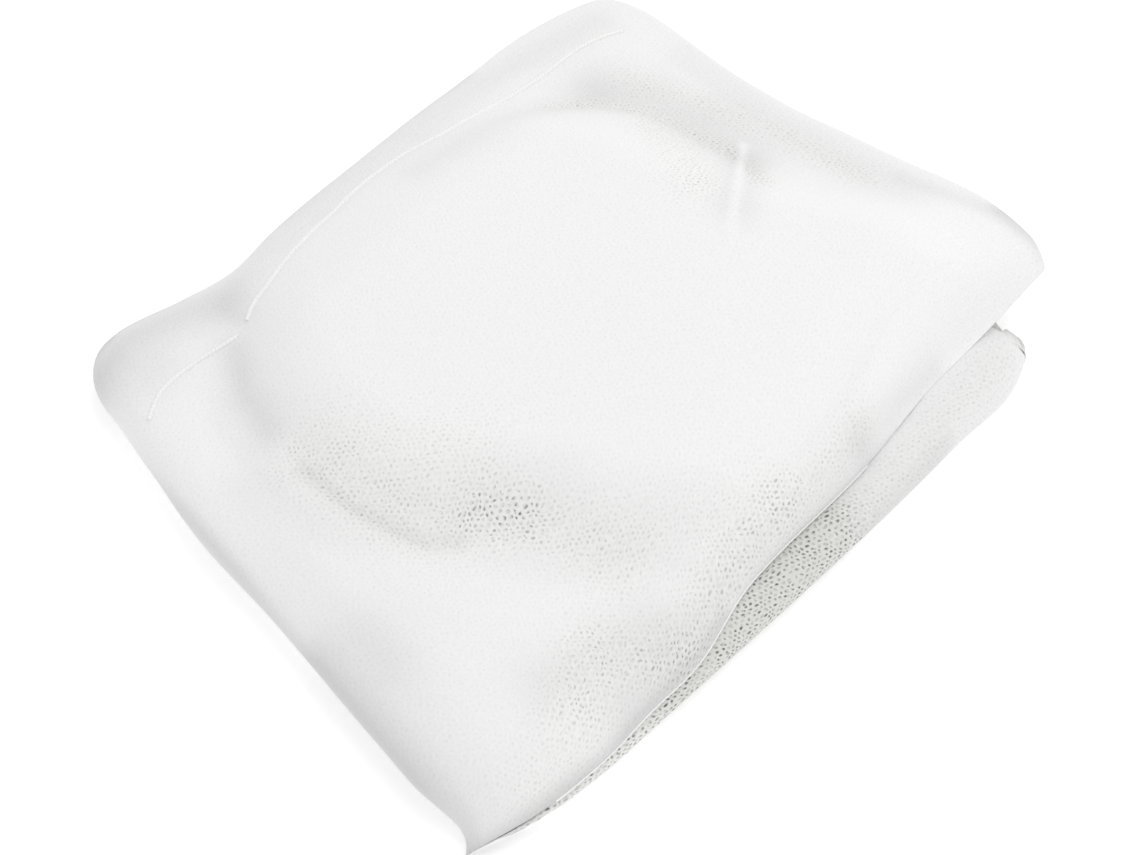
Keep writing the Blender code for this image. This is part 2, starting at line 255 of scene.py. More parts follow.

# %% [markdown]
# ## Creases
#
# The pile under the top layer gives the big form. What makes it look like cloth are the small creases: the
# line where the pile ends, pulls towards the corners, and soft rolls beside the fold. Each is a row of
# points with a width and a height, and a negative height is a trough. Simulated cloth would
# give creases too, but not these ones in these places.

# %% Creases of the top layer
Crease = namedtuple("Crease", "points half_width height")
CREASES = (
    # The groove along the foot of the pile.
    Crease(((-89, 78), (-98, 62), (-105, 36), (-106, 8), (-100, -12), (-90, -30), (-72, -44), (-60, -56),
            (-55, -74), (-38, -88)), 7.5, -1.3),
    Crease(((-80, 66), (-92, 40), (-93, 8), (-84, -16), (-62, -32), (-44, -50), (-38, -70)), 9.0, 0.9),
    # The sharp line at the very foot of the pile.
    Crease(((-108, 12), (-105, -8), (-99, -24), (-93, -35), (-84, -42), (-72, -50)), 2.2, -0.7),
    Crease(((-97, 70), (-106, 50), (-108, 32)), 5.0, -0.8),
    # The dent where the seam dips at the foot of the pile.
    Crease(((-96, 92), (-90, 80), (-86, 70)), 5.0, -1.6),
    # The inner fold that shows through at the far corner.
    Crease(((56, 84), (77, 73), (88, 60), (93, 45), (94, 30), (98, 20), (95, 8), (90, -5)), 3.0, -1.0),
    Crease(((50, 78), (70, 68), (82, 55), (87, 40), (88, 24), (86, 8)), 5.0, 0.6),
    # A sharp pull across the inner fold.
    Crease(((106, 20), (90, 7), (74, -6), (58, -18)), 2.0, 0.9),
    Crease(((104, 13), (89, 0), (74, -12), (60, -23)), 3.0, -0.7),
    Crease(((84, 30), (73, 17), (66, 6)), 3.5, -0.7),
    # Soft rolls beside the rolled fold.
    Crease(((-128, 70), (-131, 30), (-130, -20), (-128, -70)), 6.0, 0.5),
    Crease(((-119, 66), (-121, 30), (-120, -5), (-114, -45), (-104, -80)), 5.0, -0.5),
    Crease(((-136, 92), (-122, 84), (-104, 60)), 5.0, -0.8),
    # Pulls at the near side.
    Crease(((-20, -112), (-28, -96), (-40, -84), (-58, -76)), 4.5, 0.7),
    Crease(((-34, -115), (-44, -100), (-62, -92), (-84, -90)), 5.5, -0.8),
    Crease(((4, -108), (2, -92), (-6, -78)), 4.0, -0.5),
    Crease(((30, -106), (44, -88), (62, -74)), 6.0, -0.45),
    Crease(((-112, -112), (-96, -104), (-80, -102)), 5.0, 0.6),
    Crease(((-60, -118), (-70, -104), (-76, -88)), 4.5, -0.6),
    # Pulls at the far side and towards the flap's tip.
    Crease(((-52, 106), (-40, 96), (-24, 90)), 4.0, -0.7),
    Crease(((2, 112), (10, 104), (24, 100)), 3.5, -0.5),
    Crease(((60, 118), (72, 108), (90, 103)), 4.0, -0.6),
    Crease(((112, 100), (117, 60), (119, 20), (127, -18), (134, -50), (137, -74)), 2.2, -0.45),
    Crease(((118, -86), (104, -66), (84, -54)), 5.0, 0.6),
    Crease(((128, -60), (112, -44), (96, -28)), 5.0, -0.5),
)
RIPPLE_HEIGHT = 0.45
RIPPLE_LENGTH = 26.0
PUCKER_HEIGHT = 0.14
PUCKER_LENGTH = 8.0


def wander(x, y, length, seed):
    """A soft random height from -1 to 1 whose bumps are about length apart."""
    flat_x, flat_y = np.ravel(x) / length, np.ravel(y) / length
    heights = [noise.noise(Vector((a, b, seed))) for a, b in zip(flat_x, flat_y)]
    return np.reshape(heights, np.shape(x))


def crease_height(x, y):
    total = RIPPLE_HEIGHT * wander(x, y, RIPPLE_LENGTH, 3.1)
    total = total + PUCKER_HEIGHT * wander(x, y, PUCKER_LENGTH, 8.7)
    for crease in CREASES:
        away, share = line_distance(x, y, crease.points)
        fade = 0.35 + 0.65 * np.sin(math.pi * np.clip(share, 0.02, 0.98))
        total = total + crease.height * fade * np.exp(-((away / crease.half_width) ** 2))
    return total


print("creases:", len(CREASES))

# %% [markdown]
# ## The layers
#
# The top layer has the main form. Outside the pile it lies low, over the pile it rises, and at its two
# long sides it turns down over a rounded shoulder to its hem. The lowest layer is flat on the table, and
# its sides roll up and tuck in over the lower bundle, like the edge of a folded sheet. Towards the open
# end the near side of the top runs out flat, and there the roll below it tucks in deeper, so no dark slot
# opens between them. Between them lie flat layers that stop a little short of each other, so that a side
# view shows a stack and not a block.

# %% The top surface


def ramp(inside):
    """How far the pile has risen at a distance inside its edge, from 0 to 1."""
    return smoothstep((inside + PILE_START) / PILE_SLOPE)


def pile(x, y):
    """How much of the upper bundle's inner pile lies at a place, from 0 to 1."""
    share = ramp(x - read(ENDS, y, "in_roll")) * ramp(read(ENDS, y, "in_open") - x)
    return share * ramp(y - read(SIDES, x, "in_near")) * ramp(read(SIDES, x, "in_far") - y)


def swell(x, y):
    total = 0.0
    for row in SWELLS:
        away = ((x - row.along) / row.half_along) ** 2 + ((y - row.across) / row.half_across) ** 2
        total = total + row.height * np.exp(-away)
    return total


def upper_floor(x, y):
    """The underside of the upper bundle. The slit below it gapes at the near end of the open side."""
    along = smoothstep((x - FLAP_ALONG[0]) / FLAP_ALONG[1])
    return LOWER_HEIGHT + BUNDLE_GAP + FLAP_LIFT * along * smoothstep((FLAP_ACROSS[0] - y) / FLAP_ACROSS[1])


def top_height(x, y):
    stack = mix(EDGE_STACK, FULL_STACK, pile(x, y))
    return upper_floor(x, y) + stack + swell(x, y) - SHEET / 2


def near_hem_height(x):
    """How high the near hem hangs: lower than the solid's, because this cloth is thinner."""
    return read(SIDES, x, "hem_near") - HEM_DROP * smoothstep((x - HEM_DROP_FROM) / HEM_DROP_LENGTH)


def top_surface(x, y):
    """The middle of the top layer, whose sides turn down to the hem.

    Towards the open end the near side runs out flat on the lower bundle.
    """
    near, far = read(SIDES, x, "top_near"), read(SIDES, x, "top_far")
    shoulder = read(SIDES, x, "shoulder")
    inner_y = np.clip(y, near + shoulder, far - shoulder)
    flat = top_height(x, inner_y)
    flat_hem = np.where(y < inner_y, smoothstep((x - FLAT_HEM_FROM) / FLAT_HEM_LENGTH), 0.0)
    hem = np.where(y < inner_y, near_hem_height(x), read(SIDES, x, "hem_far"))
    out = np.clip(np.abs(y - inner_y) / shoulder, 0, 1)
    roundness = mix(0.5, 1.0, smoothstep((shoulder - SHARP_SHOULDER) / SHOULDER_EASE)) + flat_hem
    return hem + (flat - hem) * (1 - out * out) ** roundness


print("the top is", round(float(top_height(20, 0)), 1), "mm high over the pile")

# %% One layer as rows of points


def plan_points(u, j, roll, opening, near, far, layer):
    """Places in plan, from their share along and their column across."""
    v = j / (COLUMNS - 1)
    y = mix(read(SIDES, 0, near), read(SIDES, 0, far), v)
    x = mix(read(ENDS, y, roll) + layer.from_roll, read(ENDS, y, opening) - layer.from_open, u)
    return x, mix(read(SIDES, x, near) + layer.from_near, read(SIDES, x, far) - layer.from_far, v)


def column_runs(j, round_near, round_far, flat, gathered):
    """Where each column lies along the cloth's width, from the near turn at 0 to the far one at flat.

    Values below 0 or past flat are round a side. gathered is 1 where the side columns are kept for the turns,
    and 0 where all columns are evenly apart.
    """
    last_flat = SIDE_COLUMNS + FLAT_COLUMNS - 1
    stop = flat * (j - SIDE_COLUMNS) / (FLAT_COLUMNS - 1)
    stop = np.where(j < SIDE_COLUMNS, -round_near * (SIDE_COLUMNS - j) / SIDE_COLUMNS, stop)
    stop = np.where(j > last_flat, flat + round_far * (j - last_flat) / SIDE_COLUMNS, stop)
    even = -round_near + (flat + round_near + round_far) * j / (COLUMNS - 1)
    return mix(even, stop, gathered)


def split_runs(run, flat):
    """A run's place on the flat, how far it goes round a side, and which side that is."""
    place = np.clip(run, 0, flat)
    return place, np.abs(run - place), np.sign(run - place)


def end_height(x, y):
    """How high the lower bundle stands at a place, as a share, because its open end is rounded."""
    past = np.clip((x - read(ENDS, y, "low_open") + ROUND_END) / ROUND_END, 0, 1)
    return mix(MOUTH, 1.0, np.sqrt(1 - past**2))


def bottom_points(x, j):
    """The lowest layer: flat, its sides rolled up and tucked in over the bundle, deeper under the flap."""
    near, far = read(SIDES, x, "low_near"), read(SIDES, x, "low_far")
    edge = np.where(j < COLUMNS / 2, near, far)
    closed = read(SIDES, x, "rolled")
    rolled = np.maximum(closed * end_height(x, edge), 0.01)
    radius = (LOWER_HEIGHT - SHEET) / 2 * rolled
    radius = radius + ROLL_WAVE * closed * wander(x, 0 * x + np.sign(j - COLUMNS / 2) * 90, 17.0, 5.5)
    half_turn = math.pi * radius
    deeper = np.where(j < COLUMNS / 2, smoothstep((x - FLAT_HEM_FROM) / FLAT_HEM_LENGTH), 0.0)
    tucks = smoothstep((rolled - ROLL_CLOSES[0]) / ROLL_CLOSES[1])
    longest = half_turn + (ROLL_TUCK + TUCK_UNDER_FLAP * deeper) * tucks
    flat = far - near - 2 * radius
    runs = column_runs(j, longest, longest, flat, smoothstep(closed * 3))
    place, round_it, side = split_runs(runs, flat)
    turn = np.minimum(round_it / radius, math.pi)
    tuck = np.maximum(round_it - half_turn, 0.0)
    y = near + radius + place + side * (radius * np.sin(turn) - tuck)
    return x, y, SHEET / 2 + radius * (1 - np.cos(turn)) - TUCK_SLOPE * tuck


def top_points(x, j, gathered):
    """The top layer: it follows the pile, its sides turn down, and its near hem turns a little under."""
    near, far = read(SIDES, x, "top_near"), read(SIDES, x, "top_far")
    shoulder = read(SIDES, x, "shoulder")
    tuck = np.where(j < COLUMNS / 2, HEM_TUCK_TURN * read(SIDES, x, "tucked") * gathered, 0.0)
    whole_turn = math.pi / 2 + np.maximum(tuck, 0.0)
    flat = far - near - 2 * shoulder
    longest = shoulder * whole_turn
    runs = column_runs(j, longest, longest, flat, gathered)
    place, round_it, side = split_runs(runs, flat)
    turn = round_it / shoulder
    y = near + shoulder + place + side * shoulder * np.sin(turn)
    level = 1 - smoothstep((turn - CREASES_END[0]) / CREASES_END[1])
    z = top_surface(x, y) + crease_height(x, y) * level
    under = (side < 0) & (turn > math.pi / 2)
    return x, y, np.where(under, near_hem_height(x) + HEM_TUCK_DEPTH * np.cos(turn), z)


def inner_points(x, y, layer):
    """A layer inside a bundle. The one under the top sinks to the bottom of the flap outside the pile.

    The flap's floor gives way where the top layer comes down to its hem.
    """
    if layer.bundle == "lower":
        sag = LAYER_WAVE * wander(x, y, 35.0, layer.share * 50)
        return x, y, SHEET / 2 + (LOWER_HEIGHT - SHEET) * layer.share * end_height(x, y) + sag
    share = layer.share
    if layer is UNDER_TOP:
        share = share * smoothstep((pile(x, y) - UNDER_RISES[0]) / UNDER_RISES[1])
    top = top_surface(x, y)
    floor = np.minimum(upper_floor(x, y), np.maximum(top - LAYER_GAP, LOWER_HEIGHT + BUNDLE_GAP))
    return x, y, mix(floor + SHEET / 2, top, share)


def roll_radius(y):
    """Half the height of the rolled fold."""
    return (top_surface(read(ENDS, y, "roll"), y) - SHEET / 2) / 2


def layer_points(layer):
    """A layer as (x, y, z) arrays, with its rows from the rolled fold to the open end."""
    u = np.linspace(0, 1, layer.steps + 1)[:, None]
    j = np.arange(COLUMNS)[None, :] * np.ones_like(u)
    if layer in (BOTTOM, TOP):
        u = mix(u, smoothstep(u), 0.5)
        opening = "low_open" if layer is BOTTOM else "top_open"
        near, far = ("low_near", "low_far") if layer is BOTTOM else ("top_near", "top_far")
        x, y = plan_points(u, j, "roll", opening, near, far, layer)
        x = x + roll_radius(y) * (1 - u)
        if layer is BOTTOM:
            return bottom_points(x, j)
        closed = smoothstep(u * PACKET_LENGTH / TOP_CLOSED)
        return top_points(x, j, closed * smoothstep((1 - u) * PACKET_LENGTH / TOP_OPEN))
    if layer is UNDER_TOP:
        x, y = plan_points(u, j, "in_roll", "top_open", "in_near", "in_far", layer)
        wide_y = plan_points(u, j, "in_roll", "top_open", "top_near", "top_far", layer)[1]
        return inner_points(x, mix(y, wide_y, smoothstep((u - UNDER_WIDENS) / (1 - UNDER_WIDENS))), layer)
    if layer.bundle == "lower":
        return inner_points(*plan_points(u, j, "roll", "low_open", "low_near", "low_far", layer), layer)
    return inner_points(*plan_points(u, j, "in_roll", "in_open", "in_near", "in_far", layer), layer)


top_x, top_y, top_z = layer_points(TOP)
print("the top layer has", top_x.size, "points, up to", round(float(top_z.max()), 1), "mm high")

# %% [markdown]
# ## Joining the layers into one sheet
#
# A fold between two layers is a row of half circles from the end of one to the end of the next. Stacking
# every layer and fold in order gives one grid of points, as a knitting machine would deliver one length of
# net.

# %% Stack layers and folds


def turn_over(first, second, outward, steps):
    """The rows of a fold between two layers' ends, as half circles that bulge outward along X."""
    angle = math.pi * np.arange(1, steps + 1)[:, None] / (steps + 1)
    share = (1 - np.cos(angle)) / 2
    x, y, z = (mix(a[None, :], b[None, :], share) for a, b in zip(first, second))
    return x + outward * np.abs(first[2] - second[2])[None, :] / 2 * np.sin(angle), y, z


def stack_sheet():
    """All points of the sheet as an array of rows, columns and (x, y, z), and each row's layer number."""
    parts, numbers = [], []
    for index, layer in enumerate(LAYERS):
        towards_roll = index % 2 == 0
        points = layer_points(layer)
        if towards_roll:
            points = tuple(values[::-1] for values in points)
        if parts:
            steps = STEPS_ROUND_ROLL if layer is TOP else STEPS_A_FOLD
            last = tuple(values[-1] for values in parts[-1])
            fold = turn_over(last, tuple(values[0] for values in points), 1 if towards_roll else -1, steps)
            parts.append(fold)
            numbers += [index - 0.5] * steps
        parts.append(points)
        numbers += [index] * points[0].shape[0]
    return np.stack([np.concatenate([part[axis] for part in parts]) for axis in range(3)], axis=-1), numbers


sheet_points, row_layers = stack_sheet()
row_layers = np.array(row_layers)
print("sheet grid:", sheet_points.shape[:2])

# %% [markdown]
# ## Measures of the cloth
#
# The knitted pattern has to follow the cloth over every fold, so each point gets its place in the cloth as
# a UV: how far it lies from the rolled fold, and how far from the middle line, both in metres. The same
# distances add up to the flat size of the modelled sheet.

# %% Cloth coordinates


def cloth_coordinates(points):
    """Each point's place in the cloth in mm, along from the rolled fold either way and across."""
    middle = COLUMNS // 2
    steps = np.linalg.norm(np.diff(points, axis=0), axis=2)
    path = np.concatenate([[0], np.cumsum(steps[:, middle - 20:middle + 20].mean(axis=1))])
    roll_row = int(np.argmin(np.where(row_layers == BOTTOM_INDEX + 0.5, 0, 1)))
    along = np.abs(path - path[roll_row])
    widths = np.linalg.norm(np.diff(points, axis=1), axis=2)
    across = np.concatenate([np.zeros((len(points), 1)), np.cumsum(widths, axis=1)], axis=1)
    across = across - across[:, middle:middle + 1]
    return along[:, None] * np.ones_like(across), across, path[-1], (across[:, -1] - across[:, 0]).mean()


BOTTOM_INDEX = LAYERS.index(BOTTOM)
cloth_along, cloth_across, flat_length, flat_width = cloth_coordinates(sheet_points)
print("modelled sheet, flat:", round(flat_length / 1000, 3), "x", round(flat_width / 1000, 3), "m")

# %% [markdown]
# ## Where the cloth looks thin, and where shade is painted
#
# One layer of this net lets most light through. Over the pile there are many layers and the packet is
# plain white. Where fewer layers lie on each other the white turns to a soft grey, and where only two or
# three lie over a hollow, the holes of the knitting show as dots. These are two different looks, so there
# are two lists of bands: dotted ones and grey ones. Each band follows a line on the packet, with a width
# and a strength. The sums go onto the mesh as attributes, which the material reads.
# The dark of the dots is painted shade of the hollow below, and the grey bands also carry painted shade on
# the rims, in troughs and in the valley under the flap.

# %% Bands of thin cloth
Band = namedtuple("Band", "points half_width strength")
# Dark dots: painted shade of the hollows and grooves under few plies.
SHADED_DOTS_TOP = (
    # The foot of the pile, with its darkest holes: painted shade in the groove.
    Band(((-106, 14), (-103, -6), (-97, -20), (-88, -34), (-76, -44), (-62, -54), (-58, -66), (-50, -80)),
         10.0, 0.2),
    Band(((-74, -39), (-67, -46), (-63, -53)), 6.0, 0.62),
    Band(((-92, 6), (-84, -12), (-66, -26)), 14.0, 0.14),
    Band(((-46, -78), (-22, -90), (-4, -94)), 12.0, 0.09),
    # The inner fold at the far corner.
    Band(((60, 82), (77, 73), (88, 60), (93, 45)), 5.0, 0.26),
    Band(((94, 34), (98, 20), (95, 8), (90, -4)), 5.5, 0.42),
    Band(((80, 44), (76, 24), (68, 8)), 10.0, 0.24),
    Band(((96, 76), (112, 44), (122, 10), (130, -20)), 7.0, 0.16),
    Band(((106, 20), (90, 7), (74, -6), (60, -17)), 1.6, -0.5),
    # The near side above the hem.
    Band(((-90, -110), (-76, -100), (-66, -110), (-60, -118)), 11.0, 0.34),
    Band(((-56, -120), (-40, -112), (-24, -106), (4, -102)), 8.0, 0.34),
    Band(((4, -106), (30, -101), (46, -98)), 6.0, 0.18),
    Band(((-122, -118), (-104, -116)), 9.0, 0.1),
)
# Grey bands: sheer tone where few layers lie, and painted shade.
SHEER_AND_SHADE_TOP = (
    # The strip beyond the seam and the left corner, where few layers lie; the grey is sheer tone and painted
    # shade.
    Band(((-140, 96), (-124, 104), (-100, 96), (-88, 88)), 11.0, 0.5),
    Band(((-84, 92), (-50, 100), (0, 108), (60, 112), (108, 108)), 8.0, 0.26),
    # Painted shade in the troughs at the foot of the pile and in the valley beside the flap's hem.
    Band(((-97, 70), (-106, 50), (-108, 32)), 6.5, 0.45),
    Band(((-108, 12), (-105, -8), (-99, -24), (-93, -35), (-84, -42)), 2.5, 0.35),
    Band(((40, -102), (66, -98), (88, -97)), 5.0, 0.3),
    # The sharp pull, which stays white in a grey patch.
    Band(((98, 13), (82, 0), (68, -12)), 8.0, 0.3),
    Band(((106, 20), (90, 7), (74, -6), (60, -17)), 1.6, -0.5),
    # Painted shade on the roll's side, along the foot of the pile, in the far corner, at the right edge and
    # tip, above the near hem and at the left and far edges.
    Band(((-126, 20), (-130, -20), (-128, -60)), 10.0, 0.2),
    Band(((-106, 14), (-103, -6), (-97, -20), (-88, -34), (-76, -44), (-62, -54), (-50, -78), (-20, -92)),
         12.0, 0.04),
    Band(((84, 80), (96, 60), (98, 36), (100, 14)), 13.0, 0.42),
    Band(((122, 70), (126, 20), (136, -20)), 8.0, 0.16),
    Band(((140, -30), (149, -62)), 4.5, 0.25),
    Band(((153, -68), (151, -92)), 4.5, 0.8),
    Band(((40, -106), (0, -110), (-30, -114), (-80, -120)), 9.0, 0.4),
    Band(((-146, -44), (-146, -122)), 8.0, 0.6),
    Band(((-146, 98), (-134, 94), (-126, 84)), 13.0, 0.3),
    Band(((-80, 108), (-40, 112), (0, 119), (50, 124)), 5.0, 0.6),
    # Painted shade on the cloth's outermost rims and the slopes beside them.
    Band(((-147, 90), (-145, 0), (-146, -64), (-146, -120)), 2.5, 0.7),
    Band(((-140, -122), (-95, -127), (-70, -125), (-50, -123), (-36, -119)), 3.5, 1.0),
    Band(((-146, 98), (-138, 108), (-120, 116), (-95, 109)), 3.5, 0.9),
    Band(((-56, -104), (-74, -102), (-94, -98)), 11.0, 0.3),
    Band(((-130, -50), (-134, -80), (-136, -110)), 14.0, 0.25),
    Band(((0, 84), (40, 82), (80, 76)), 10.0, 0.2),
    Band(((112, 40), (124, 0), (134, -36)), 12.0, 0.2),
)
# Dark dots on the lower bundle's near strip: painted shade of the valley under the flap's hem.
SHADED_DOTS_LOWER = (
    Band(((-110, -122), (-60, -124), (-20, -122), (14, -118)), 12.0, 1.0),
    Band(((-30, -116), (-6, -114), (16, -112)), 12.0, 0.4),
    Band(((16, -116), (60, -114), (112, -108)), 10.0, 0.14),
)
# Grey on the lower bundle's near strip: its few plies, and painted shade in the valley under the flap's hem.
SHEER_AND_SHADE_LOWER = (
    Band(((-60, -122), (-20, -120), (10, -116)), 14.0, 1.0),
    Band(((30, -123), (70, -119)), 4.0, 0.4),
    Band(((10, -116), (60, -110), (112, -104)), 16.0, 0.32),
)
# The open mouth's painted shade, and the faint dark dots of painted shade on inner plies.
MOUTH_SHADE = 1.0
MOUTH_SHADED_DOTS = 0.6
INNER_SHADED_DOTS = 0.2


def band_sum(x, y, bands):
    total = np.zeros(np.shape(x))
    for band in bands:
        away, _ = line_distance(x, y, band.points)
        total = total + band.strength * np.exp(-((away / band.half_width) ** 2))
    return total


def sheet_bands():
    """How dotted and how grey every point of the sheet looks, from 0 to 1."""
    x, y = sheet_points[..., 0], sheet_points[..., 1]
    is_lower = (row_layers <= BOTTOM_INDEX)[:, None]
    dotted = np.where(is_lower, band_sum(x, y, SHADED_DOTS_LOWER), band_sum(x, y, SHADED_DOTS_TOP))
    grey = np.where(is_lower, band_sum(x, y, SHEER_AND_SHADE_LOWER), band_sum(x, y, SHEER_AND_SHADE_TOP))
    # Painted shade at the lower bundle's open mouth, as grey and dark dots.
    mouth = smoothstep((x - read(ENDS, y, "low_open") + 2.5) / 1.5)
    grey = np.where(is_lower, np.maximum(grey, MOUTH_SHADE * mouth), grey)
    dotted = np.where(is_lower, np.maximum(dotted, MOUTH_SHADED_DOTS * mouth), dotted)
    # Plies inside the packet get faint dark dots at least: painted shade between the plies.
    hidden = (np.abs(row_layers - BOTTOM_INDEX - 0.5) > 1.6)[:, None]
    return np.clip(np.where(hidden, np.maximum(dotted, INNER_SHADED_DOTS), dotted), 0, 1), np.clip(grey, 0, 1)


sheet_shaded_dots, sheet_sheer_and_shade = sheet_bands()
print("most dotted:", round(float(sheet_shaded_dots.max()), 2), " greyest:", round(float(sheet_sheer_and_shade.max()), 2))

# %% [markdown]
# ## The net as a mesh
#
# The grid becomes a mesh of quads, thickened by a Solidify modifier to a closed sheet half a millimetre
# thick. A real net is thinner still, but here one sheet stands for several plies that lie together.

# %% Build the sheet


def keep_places(obj):
    """Moves a mesh given in table millimetres into the packet's frame, in metres."""
    shift = Matrix.Translation((-TABLE_MIDDLE[0] * MM, -TABLE_MIDDLE[1] * MM, 0))
    obj.data.transform(shift @ Matrix.Scale(MM, 4))


def bake_modifiers(obj):
    """Replaces an object's mesh by what its modifiers make of it."""
    graph = bpy.context.evaluated_depsgraph_get()
    shaped = obj.evaluated_get(graph)
    made = bpy.data.meshes.new_from_object(shaped, preserve_all_data_layers=True, depsgraph=graph)
    obj.modifiers.clear()
    old = obj.data
    obj.data = made
    bpy.data.meshes.remove(old)
    made.name = obj.name


def count_triangles(obj):
    return sum(len(face.vertices) - 2 for face in obj.data.polygons)


def grid_mesh(name, points):
    """A mesh of quads over an array of points, and the point of each face corner."""
    rows, columns = points.shape[:2]
    index = np.arange(rows * columns).reshape(rows, columns)
    corners = np.stack([index[:-1, :-1], index[1:, :-1], index[1:, 1:], index[:-1, 1:]], axis=-1)
    mesh = bpy.data.meshes.new(name)
    mesh.from_pydata(points.reshape(-1, 3).tolist(), [], corners.reshape(-1, 4).tolist())
    return mesh, corners.reshape(-1)


def make_sheet():
    mesh, corners = grid_mesh("netting", sheet_points)
    uv = mesh.uv_layers.new(name="cloth")
    places = np.stack([cloth_along, cloth_across], axis=-1).reshape(-1, 2) * MM
    uv.data.foreach_set("uv", places[corners].astype(np.float32).reshape(-1))
    # The dotted and grey attributes carry painted shade to the material.
    for name, values in (("dotted", sheet_shaded_dots), ("grey", sheet_sheer_and_shade)):
        layer = mesh.attributes.new(name, "FLOAT", "POINT")
        layer.data.foreach_set("value", values.astype(np.float32).reshape(-1))
    mesh.shade_smooth()
    net = bpy.data.objects.new("netting", mesh)
    bpy.context.scene.collection.objects.link(net)
    thickness = net.modifiers.new("thickness", "SOLIDIFY")
    thickness.thickness = SHEET
    thickness.offset = 0
    bake_modifiers(net)
    keep_places(net)
    return net


netting = make_sheet()
print("netting:", count_triangles(netting), "triangles")

# %% [markdown]
# ## The sewn lines
#
# Two sewn lines show. A seam runs over the top beside the far edge, and the near hem is turned under and
# sewn. Both are narrow ridges of thread: an overlock machine wraps thread round the raw edge, loop after
# loop. A loop that repeats along a path is work for Geometry Nodes. One tree makes a soft core along the
# path and sets a slanted stitch at every pitch, and both lines use it with their own sizes.

# %% Paths of the sewn lines
SewnLine = namedtuple("SewnLine", "name points core_radius stitch_pitch stitch_length stitch_width")
SEAM_LEFT = ((-135, 66), (-127, 72.5), (-117, 75.6), (-108, 75.6), (-100, 75.0), (-92, 74.2))
SEAM_LONG = (
    (-86, 77), (-80.5, 80.3), (-73, 82.2), (-64.6, 85.8), (-51.5, 89.8), (-37.2, 93.6), (-18.2, 98.6),
    (-1.4, 100.2), (8.8, 98.9), (20.4, 96.8), (35.9, 97.2), (53.3, 98.2), (70.2, 99.2), (91.5, 101.4),
    (103, 100), (113, 96.8),
)
HEM_FROM = -114.0
HEM_TO = 44.0
HEM_STEP = 4.0
CORE_LIFT = 0.12
PATH_STEP = 1.5
STITCH_PITCH = 1.5
SMOOTHINGS = 6


def smooth_path(points, step):
    """A path through points, resampled at a step and rounded at its corners."""
    points = np.array(points, float)
    lengths = np.concatenate([[0], np.cumsum(np.linalg.norm(np.diff(points, axis=0), axis=1))])
    at = np.linspace(0, lengths[-1], int(lengths[-1] / step) + 1)
    path = np.stack([np.interp(at, lengths, points[:, axis]) for axis in range(points.shape[1])], axis=-1)
    for _ in range(SMOOTHINGS):
        path[1:-1] = (path[:-2] + 2 * path[1:-1] + path[2:]) / 4
    return path


def on_top(path):
    """Lays a path in plan on the outside of the top layer."""
    x, y = path[:, 0], path[:, 1]
    z = top_surface(x, y) + crease_height(x, y) + SHEET / 2 + CORE_LIFT
    return np.stack([x, y, z], axis=-1)


def hem_path():
    """The edge where the top layer's near side turns under."""
    x = np.arange(HEM_FROM, HEM_TO, HEM_STEP)
    y = read(SIDES, x, "top_near") - SHEET / 2
    return smooth_path(np.stack([x, y, near_hem_height(x)], axis=-1), PATH_STEP)


SEWN_LINES = (
    SewnLine("seam_at_the_corner", on_top(smooth_path(SEAM_LEFT, PATH_STEP)), 0.75, STITCH_PITCH, 1.7, 0.26),
    SewnLine("long_seam", on_top(smooth_path(SEAM_LONG, PATH_STEP)), 0.85, STITCH_PITCH, 1.9, 0.28),
    SewnLine("near_hem", hem_path(), 0.38, STITCH_PITCH, 1.3, 0.18),
)
print("sewn lines:", [(line.name, len(line.points)) for line in SEWN_LINES])

# %% A helper for nodes


def add(tree, kind, inputs=None, **settings):
    """Adds a node with its settings. An input takes a value, a socket, or another node's first output."""
    node = tree.nodes.new(kind)
    for name, value in settings.items():
        setattr(node, name, value)
    for key, value in (inputs or {}).items():
        if isinstance(value, bpy.types.Node):
            value = value.outputs[0]
        if isinstance(value, bpy.types.NodeSocket):
            tree.links.new(value, node.inputs[key])
        else:
            node.inputs[key].default_value = value
    return node


# %% The tree of a sewn line
STITCH_SLANT = math.radians(52)
STITCH_WOBBLE = math.radians(9)
CORE_SIDES = 8
STITCH_SIDES = 6
STITCH_RINGS = 5


